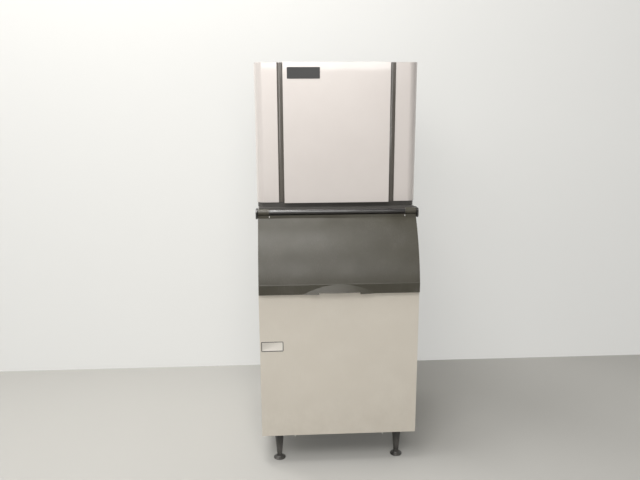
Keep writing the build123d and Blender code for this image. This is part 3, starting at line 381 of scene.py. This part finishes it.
finishes = {
    "satin_steel": satin_steel(),
    "bin_paint": bin_paint(),
    "door_plastic": door_plastic(),
    "galvanised": metal("galvanised", (0.60, 0.61, 0.61), (0.50, 0.51, 0.52), 0.42, (40, 40, 40), 0.10),
    "stainless": metal("stainless", (0.66, 0.65, 0.63), (0.58, 0.57, 0.55), 0.34, (4, 900, 900)),
    "nickel": metal("nickel", (0.74, 0.72, 0.68), (0.64, 0.62, 0.58), 0.26, (60, 60, 60), 0.10),
    "copper": metal("copper", (0.72, 0.38, 0.25), (0.55, 0.27, 0.18), 0.30, (90, 90, 90), 0.12),
    "brass": metal("brass", (0.70, 0.52, 0.25), (0.58, 0.41, 0.19), 0.30, (200, 200, 200)),
    "screw_steel": metal("screw_steel", (0.70, 0.70, 0.68), (0.58, 0.58, 0.56), 0.28, (300, 300, 300)),
    "fin_aluminium": metal("fin_aluminium", (0.72, 0.73, 0.74), (0.62, 0.63, 0.64), 0.38, (4, 900, 900)),
    "liner_white": moulded("liner_white", (0.80, 0.81, 0.80), (0.74, 0.75, 0.73), 0.38, 0.12),
    "foam": moulded("foam", (0.72, 0.60, 0.30), (0.62, 0.50, 0.23), 0.85, 0.8, 160),
    "clear_plastic": moulded("clear_plastic", (0.72, 0.78, 0.80), (0.66, 0.72, 0.75), 0.25, 0.08),
    "base_plastic": moulded("base_plastic", (0.078, 0.074, 0.069), (0.094, 0.089, 0.083), 0.42, 0.25),
    "strip_grey": moulded("strip_grey", (0.108, 0.098, 0.086), (0.134, 0.123, 0.109), 0.22, 0.08),
    "label_pale": moulded("label_pale", (0.66, 0.63, 0.58), (0.60, 0.57, 0.52), 0.35, 0.05),
    "label_outline": moulded("label_outline", (0.05, 0.05, 0.05), (0.07, 0.07, 0.07), 0.4, 0.05),
    "badge_dark": moulded("badge_dark", (0.036, 0.036, 0.036), (0.039, 0.039, 0.039), 0.45, 0.03),
    "rubber_black": moulded("rubber_black", (0.025, 0.025, 0.025), (0.035, 0.035, 0.034), 0.7, 0.5),
    "gloss_black": coated("gloss_black", (0.012, 0.011, 0.011), (0.020, 0.018, 0.018), 0.3, 1.0, 0.04, 0.5),
    "leg_black": coated("leg_black", (0.022, 0.021, 0.020), (0.034, 0.032, 0.030), 0.42, 0.2),
    "compressor_black": coated("compressor_black", (0.018, 0.018, 0.019), (0.028, 0.028, 0.029), 0.35, 0.3),
}


# Piece building


def centre(node):
    """Middle of a node's box."""
    low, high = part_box(node)
    return (low + high) / 2


def settle(name, shape, node, slot=None, stands_for=(), smooth=35, crisp=None):
    """Makes an object of a bmesh, gives it its finish, and lets it ride on the body of a CAD node."""
    mesh = bpy.data.meshes.new(name)
    shape.edges.index_update()
    creases = [edge.index for edge in shape.edges if crisp and crisp(edge)]
    shape.to_mesh(mesh)
    shape.free()
    piece = bpy.data.objects.new(name, mesh)
    bpy.context.scene.collection.objects.link(piece)
    slot = slot or slot_of_node[node]
    mesh.materials.append(finishes[slot])
    mesh.shade_smooth()
    mesh.set_sharp_from_angle(angle=math.radians(smooth))
    for crease in creases:
        mesh.edges[crease].use_edge_sharp = True
    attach(piece, body_of_node[node])
    if stands_for:
        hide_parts(*stands_for)
    return piece


def soften(piece, width):
    """Rounds a piece's sharp edges with a bevel of a width in millimetres."""
    bevel = piece.modifiers.new("rounded_edges", "BEVEL")
    bevel.width = width * MM
    bevel.segments = 2
    bevel.limit_method = "ANGLE"
    bevel.angle_limit = math.radians(35)
    bevel.harden_normals = True


cut_slack = 0.001 * MM


def slacken(shape, node):
    """Cuts the front of a folded sheet into a grid and lets it sway a little between its edges."""
    low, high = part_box(node)
    step = 24 * MM
    edge_depth = 0.30 * MM
    sway_depth = 0.32 * MM
    front_depth = 0.01 * MM
    waves = 9
    for axis in (0, 2):
        across = Vector((0, 0, 0))
        across[axis] = 1
        reach = high[axis] - low[axis]
        cuts = round(reach / step)
        for index in range(1, cuts):
            whole = list(shape.verts) + list(shape.edges) + list(shape.faces)
            spot = low + across * reach * index / cuts
            bmesh.ops.bisect_plane(shape, geom=whole, dist=cut_slack, plane_co=spot, plane_no=across)
    for spot in [vert.co for vert in shape.verts if vert.co.y <= low.y + front_depth]:
        inside = min(spot.x - low.x, high.x - spot.x, spot.z - low.z, high.z - spot.z)
        sway = 0.5 + 0.5 * fractal.noise(Vector((spot.x * waves, 0, spot.z * waves)))
        spot.y += sway_depth * sway if inside > step / 2 else edge_depth


# Grip lip of the door: a large upright cone that flares downwards from the flat band

band_y = -386 * MM
lip_radius = 1021 * MM
lip_top = 933 * MM
lip_half = 200 * MM
notch_top = 895 * MM
crease_top = 937 * MM
crease_front = -384 * MM


def round_lip(shape, node):
    """Brings the lip, which the loose triangles follow in long flat facets, back to its true cone."""
    low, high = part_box(node)
    slope = (band_y - low.y) / (lip_top - notch_top)
    axis_y = band_y + lip_radius
    near = 0.02 * MM
    lip = [
        face for face in shape.faces
        if face.normal.y < -0.5 and face.calc_center_median().y < band_y - near
    ]
    pool = list({part for face in lip for part in (*face.verts, *face.edges, face)})
    for axis, start, end, step in ((0, -lip_half, lip_half, 8 * MM), (2, low.z, lip_top, 4 * MM)):
        across = Vector((0, 0, 0))
        across[axis] = 1
        for index in range(1, round((end - start) / step)):
            spot = across * (start + index * step)
            cut = bmesh.ops.bisect_plane(shape, geom=pool, dist=cut_slack, plane_co=spot, plane_no=across)
            pool = cut["geom"]
    for vert in [part for part in pool if isinstance(part, bmesh.types.BMVert)]:
        spot = vert.co
        radius = lip_radius + slope * (lip_top - spot.z)
        if abs(spot.y - band_y) < near:
            miss = radius ** 2 - spot.x ** 2 - lip_radius ** 2
            lean = Vector((-2 * spot.x, 0, -2 * radius * slope))
            spot -= lean * miss / lean.length_squared
        else:
            spot.y = axis_y - math.sqrt(radius ** 2 - spot.x ** 2)


def band_crease(edge):
    """Whether an edge is one of the shallow creases round the door's band and lip."""
    spots = [vert.co for vert in edge.verts]
    low_front = all(spot.z < crease_top and spot.y < crease_front for spot in spots)
    return low_front and edge.calc_face_angle(0) > math.radians(5.5)


extra_shaping = {"front_panel": slacken, "bin_door": round_lip}
crisp_edges = {"bin_door": band_crease}


def dress(node, width):
    """The CAD node's own shape, joined up and with its edges rounded."""
    shape = bmesh.new()
    shape.from_mesh(nodes[node].data)
    bmesh.ops.remove_doubles(shape, verts=shape.verts, dist=0.002 * MM)
    bmesh.ops.dissolve_limit(
        shape, angle_limit=math.radians(0.6), verts=shape.verts, edges=shape.edges, delimit={"NORMAL"}
    )
    if node in extra_shaping:
        extra_shaping[node](shape, node)
    piece = settle(f"{node}_finished", shape, node, stands_for=[node], crisp=crisp_edges.get(node))
    if width:
        soften(piece, width)


def turned(shape, outline, spot, steps=64):
    """Turns an outline of (radius, height) pairs, in millimetres, about an upright axis at spot."""
    old = set(shape.verts)
    chain = [shape.verts.new((radius * MM, 0, height * MM)) for radius, height in outline]
    edges = [shape.edges.new(pair) for pair in zip(chain, chain[1:])]
    bmesh.ops.spin(
        shape,
        geom=chain + edges,
        axis=(0, 0, 1),
        cent=(0, 0, 0),
        steps=steps,
        angle=math.tau,
        use_merge=True,
    )
    fresh = [vert for vert in shape.verts if vert not in old]
    bmesh.ops.remove_doubles(shape, verts=fresh, dist=0.005 * MM)
    fresh = [vert for vert in shape.verts if vert not in old]
    bmesh.ops.translate(shape, verts=fresh, vec=spot)


def block(shape, low, high):
    """A box between two corners."""
    verts = bmesh.ops.create_cube(shape, size=1)["verts"]
    bmesh.ops.scale(shape, verts=verts, vec=high - low)
    bmesh.ops.translate(shape, verts=verts, vec=(low + high) / 2)


def round_edges(shape, edges, width, segments=2):
    """Rounds some edges of a shape."""
    bmesh.ops.bevel(
        shape, geom=edges, offset=width, segments=segments, profile=0.5, affect="EDGES", material=-1
    )


# CAD pieces that keep their form, with the radius of their edges in millimetres

edge_radii = {
    "bin_wrapper": 0.5,
    "bin_back_panel": 0.4,
    "bin_base_pan": 0.5,
    "bin_insulation": 0,
    "bin_liner": 1.6,
    "bin_deck": 0.8,
    "ice_baffle": 1.2,
    "hinge_bar": 1.5,
    "hinge_plates": 1.6,
    "bin_door": 1.6,
    "head_base": 1.0,
    "left_side_panel": 0.4,
    "right_side_panel": 0.4,
    "trim_strips": 0.8,
    "front_panel": 0.4,
    "top_panel": 0.4,
    "head_back_panel": 0.3,
    "freezing_back_panel": 0.3,
    "water_fittings": 0.8,
    "divider": 0.4,
    "evaporator_wall": 0.6,
    "evaporator": 0,
    "evaporator_coil": 1.8,
    "water_distributor": 0.6,
    "supply_tube": 0,
    "water_curtain": 0.5,
    "curtain_brackets": 0.8,
    "water_trough": 1.2,
    "pump": 1.0,
    "pump_impeller": 0,
    "float_valve": 0.8,
    "float_arm": 0.8,
    "compressor_grommets": 1.5,
    "compressor": 3.0,
    "condenser": 0,
    "fan_shroud": 0.5,
    "fan_motor": 1.5,
    "fan_blade": 0.3,
    "discharge_line": 0,
    "liquid_line": 0,
    "filter_drier": 1.5,
    "feed_line": 0,
    "expansion_valve": 1.0,
    "suction_line": 0,
    "hot_gas_valve": 1.0,
    "hot_gas_line": 0,
    "control_box": 0.4,
    "control_box_cover": 0.4,
    "switch_body": 0.6,
    "selector_switch": 0.6,
}
for node, radius in edge_radii.items():
    dress(node, radius)


# Legs and levelling feet

feet = ["foot_front_left", "foot_front_right", "foot_rear_left", "foot_rear_right"]
leg_low, leg_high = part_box("legs")
leg_bottom = leg_low.z / MM
leg_top = leg_high.z / MM
leg_tip_radius = 13.5
leg_top_radius = 24.4
nut_radius = 13.4 * MM
nut_height = 10.4 * MM
nut_middle = 19.3 * MM

tapered = bmesh.new()
for foot in feet:
    spot = centre(foot)
    turned(
        tapered,
        [
            (9, leg_bottom + 30),
            (9, leg_bottom + 0.4),
            (leg_tip_radius - 1, leg_bottom),
            (leg_tip_radius, leg_bottom + 1),
            (leg_tip_radius + 9.8, leg_top - 13),
            (leg_top_radius - 0.6, leg_top - 12),
            (leg_top_radius, leg_top - 11),
            (leg_top_radius, leg_top),
            (0, leg_top),
        ],
        (spot.x, spot.y, 0),
    )
bmesh.ops.recalc_face_normals(tapered, faces=tapered.faces)
settle("tapered_legs", tapered, "legs", stands_for=["legs"])

for foot in feet:
    spot = centre(foot)
    low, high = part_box(foot)
    shape = bmesh.new()
    turned(
        shape,
        [
            (0, 0.0),
            (28.5, 0.0),
            (30, 1.2),
            (30, 3.4),
            (29, 4.6),
            (20, 8.5),
            (15.5, 12.5),
            (14.5, 14),
            (0, 14),
        ],
        (spot.x, spot.y, 0),
    )
    turned(
        shape,
        [(0, 24), (7.9, 24), (7.9, high.z / MM - 1), (6.8, high.z / MM), (0, high.z / MM)],
        (spot.x, spot.y, 0),
        32,
    )
    nut = bmesh.ops.create_cone(
        shape, cap_ends=True, segments=6, radius1=nut_radius, radius2=nut_radius, depth=nut_height
    )["verts"]
    bmesh.ops.translate(shape, verts=nut, vec=(spot.x, spot.y, nut_middle))
    nut_edges = list({edge for vert in nut for edge in vert.link_edges})
    round_edges(shape, nut_edges, 0.8 * MM)
    bmesh.ops.recalc_face_normals(shape, faces=shape.faces)
    settle(f"levelling_{foot}", shape, foot, stands_for=[foot])


# Blank plates: the head's dark one and the bin's pale one with its dark outline


def plaque(name, node, corner, border, border_finish, field_depth):
    """A thin plate with rounded corners and a border round its bare field, in millimetres."""
    low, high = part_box(node)
    shape = bmesh.new()
    block(shape, low, high)
    thickness = high.y - low.y
    upright = [
        edge for edge in shape.edges
        if abs(edge.verts[0].co.y - edge.verts[1].co.y) > thickness / 2
    ]
    round_edges(shape, upright, corner * MM, 6)
    front = [face for face in shape.faces if face.normal.y < -0.9]
    bmesh.ops.inset_region(shape, faces=front, thickness=0.5 * MM)
    rim = bmesh.ops.inset_region(shape, faces=front, thickness=border * MM)["faces"]
    slope = bmesh.ops.inset_region(shape, faces=front, thickness=0.3 * MM)["faces"]
    field = {vert for face in front for vert in face.verts}
    bmesh.ops.translate(shape, verts=list(field), vec=(0, field_depth * MM, 0))
    for face in rim + slope:
        face.material_index = 1
    piece = settle(name, shape, node, stands_for=[node], smooth=40)
    piece.data.materials.append(finishes[border_finish])


plaque("blank_head_plate", "head_badge", 3, 1.5, "badge_dark", 0.35)
plaque("blank_bin_label", "bin_label", 5, 3.4, "label_outline", 0.2)


# Screws and bolts: washer-faced hexagon heads


def screw_head(shape, spot, out, radius, height):
    """One screw head whose washer lies at spot and whose hexagon stands along out."""
    turn = Vector((0, 0, 1)).rotation_difference(out).to_matrix().to_4x4()
    lift = Matrix.Translation(spot) @ turn
    washer = bmesh.ops.create_cone(
        shape, cap_ends=True, segments=40, radius1=radius, radius2=radius * 0.92, depth=height * 0.3,
        matrix=lift @ Matrix.Translation((0, 0, height * 0.15)),
    )["verts"]
    head = bmesh.ops.create_cone(
        shape, cap_ends=True, segments=6, radius1=radius * 0.72, radius2=radius * 0.72, depth=height * 0.7,
        matrix=lift @ Matrix.Translation((0, 0, height * 0.65)),
    )["verts"]
    for verts, width in ((washer, radius * 0.06), (head, radius * 0.10)):
        edges = list({edge for vert in verts for edge in vert.link_edges})
        round_edges(shape, edges, width)


low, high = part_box("bin_screws")
bolt_radius = 6.4 * MM
bolt_height = 7 * MM
bolt_length = 14 * MM
bolt_inset = 7 * MM
stem_radius = 2.6 * MM
stem_root_radius = 3.1 * MM
shape = bmesh.new()
for x in (low.x + bolt_inset, high.x - bolt_inset):
    spot = Vector((x, (low.y + high.y) / 2, high.z))
    screw_head(shape, spot, Vector((0, 0, -1)), bolt_radius, bolt_height)
    bmesh.ops.create_cone(
        shape, cap_ends=True, segments=24, radius1=stem_radius, radius2=stem_root_radius,
        depth=bolt_length, matrix=Matrix.Translation(spot - Vector((0, 0, bolt_length / 2))),
    )
settle("bin_screw_heads", shape, "bin_screws", stands_for=["bin_screws"])

low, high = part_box("cabinet_screws")
screw_radius = 5.2 * MM
screw_inset = 6 * MM
shape = bmesh.new()
for x in (low.x + screw_inset, high.x - screw_inset):
    for z in (low.z + screw_radius, (low.z + high.z) / 2, high.z - screw_radius):
        screw_head(shape, Vector((x, low.y, z)), Vector((0, 1, 0)), screw_radius, high.y - low.y)
settle("cabinet_screw_heads", shape, "cabinet_screws", stands_for=["cabinet_screws"])


# Dark sheet folded over the top front edge of the bin, between the hinge bar and the head: painted shade
# standing in for the shadowed gap there

shade_sheet_half = 379 * MM
shade_sheet_front = -218.8 * MM
shade_sheet_drop = 26 * MM
shade_sheet_thickness = 0.7 * MM
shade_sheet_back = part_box("head_base")[0].y
deck_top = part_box("bin_deck")[1].z
shade_sheet_top = deck_top + shade_sheet_thickness
shape = bmesh.new()
for back, bottom in ((shade_sheet_front + shade_sheet_thickness, deck_top - shade_sheet_drop), (shade_sheet_back, deck_top)):
    block(shape, Vector((-shade_sheet_half, shade_sheet_front, bottom)), Vector((shade_sheet_half, back, shade_sheet_top)))
# The sheet's dark finish is painted shade over the bright deck edge, not a part of the machine
soften(settle("painted_shade_sheet", shape, "head_base"), 0.2)


# Small screws on the necks of the door

low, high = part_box("bin_door")
neck_end = 54 * MM
neck_y = -250.1 * MM
neck_z = 1233 * MM
neck_screw_radius = 3.6 * MM
neck_screw_height = 2.4 * MM
shape = bmesh.new()
for x in (low.x + neck_end, high.x - neck_end):
    spot = Vector((x, neck_y, neck_z))
    screw_head(shape, spot, Vector((0, -1, 0)), neck_screw_radius, neck_screw_height)
settle("door_end_screws", shape, "bin_door", slot="screw_steel")


# Stage: pale floor and wall, camera at the photograph's angle, soft studio light


def plain(name, colour, glow):
    """Backdrop colour, seen at an even brightness by camera and gloss, and clear from its back."""
    material = bpy.data.materials.new(name)
    material.use_nodes = True
    tree = material.node_tree
    tree.nodes.clear()
    matt = place(tree, "ShaderNodeBsdfDiffuse", {"Color": (*colour, 1)}).outputs[0]
    even = place(tree, "ShaderNodeEmission", {"Color": (*colour, 1), "Strength": 1.0}).outputs[0]
    path = place(tree, "ShaderNodeLightPath").outputs
    seen = calculate(tree, "MAXIMUM", path["Is Camera Ray"], path["Is Glossy Ray"])
    share = calculate(tree, "MULTIPLY", seen, glow)
    mix = place(tree, "ShaderNodeMixShader", {0: share, 1: matt, 2: even}).outputs[0]
    behind = place(tree, "ShaderNodeNewGeometry").outputs["Backfacing"]
    clear = place(tree, "ShaderNodeBsdfTransparent").outputs[0]
    one_sided = place(tree, "ShaderNodeMixShader", {0: behind, 1: mix, 2: clear}).outputs[0]
    place(tree, "ShaderNodeOutputMaterial", {0: one_sided})
    return material


def stage_sheet(name, corners, material):
    """One flat sheet of the room, which isn't part of the object."""
    mesh = bpy.data.meshes.new(name)
    shape = bmesh.new()
    shape.faces.new([shape.verts.new(corner) for corner in corners])
    shape.to_mesh(mesh)
    shape.free()
    sheet = bpy.data.objects.new(name, mesh)
    bpy.context.scene.collection.objects.link(sheet)
    mesh.materials.append(material)


wall_y = 0.85
room = 9
stage_sheet(
    "floor",
    [(-room, -room, 0), (room, -room, 0), (room, room, 0), (-room, room, 0)],
    plain("floor_grey", (0.46, 0.455, 0.435), 0.06),
)
stage_sheet(
    "back_wall",
    [(-room, wall_y, 0), (room, wall_y, 0), (room, wall_y, room), (-room, wall_y, room)],
    plain("wall_white", (0.775, 0.775, 0.755), 0.47),
)

world = bpy.data.worlds.new("even_room")
world.use_nodes = True
sky = world.node_tree.nodes["Background"].inputs
sky["Color"].default_value = (1.0, 0.985, 0.96, 1)
straight = place(world.node_tree, "ShaderNodeLightPath").outputs["Is Camera Ray"]
world.node_tree.links.new(span(world.node_tree, straight, 0, 1, 0.24, 0.78), sky["Strength"])
bpy.context.scene.world = world


def soft_light(name, spot, target, width, height, power):
    """A wide lamp that points at a target."""
    lamp = bpy.data.lights.new(name, "AREA")
    lamp.shape = "RECTANGLE"
    lamp.size = width
    lamp.size_y = height
    lamp.energy = power
    lamp.color = (1.0, 0.985, 0.965)
    holder = bpy.data.objects.new(name, lamp)
    bpy.context.scene.collection.objects.link(holder)
    holder.location = spot
    holder.rotation_euler = (Vector(target) - Vector(spot)).to_track_quat("-Z", "Y").to_euler()


soft_light("far_window", (-0.65, -6.0, 3.01), (-0.65, 0, 3.01), 3.9, 1.5, 96)
soft_light("front_ceiling", (-1.0, -3.4, 4.4), (-0.3, 0, 1.0), 3.2, 1.8, 113)
soft_light("back_ceiling", (-0.95, -0.4, 4.6), (-0.45, 0, 0.9), 2.6, 0.3, 90)
soft_light("left_ceiling", (-3.4, -1.2, 4.0), (0, 0, 0.9), 2.4, 2.4, 63)

camera_data = bpy.data.cameras.new("camera")
camera_data.sensor_width = 36
camera_data.lens = 34.51
camera = bpy.data.objects.new("camera", camera_data)
bpy.context.scene.collection.objects.link(camera)
camera.location = (-0.2393, -3.1358, 1.7497)
camera.rotation_euler = (math.radians(77.669), math.radians(0.257), math.radians(-3.125))
bpy.context.scene.camera = camera

bpy.context.scene.view_settings.view_transform = "Standard"
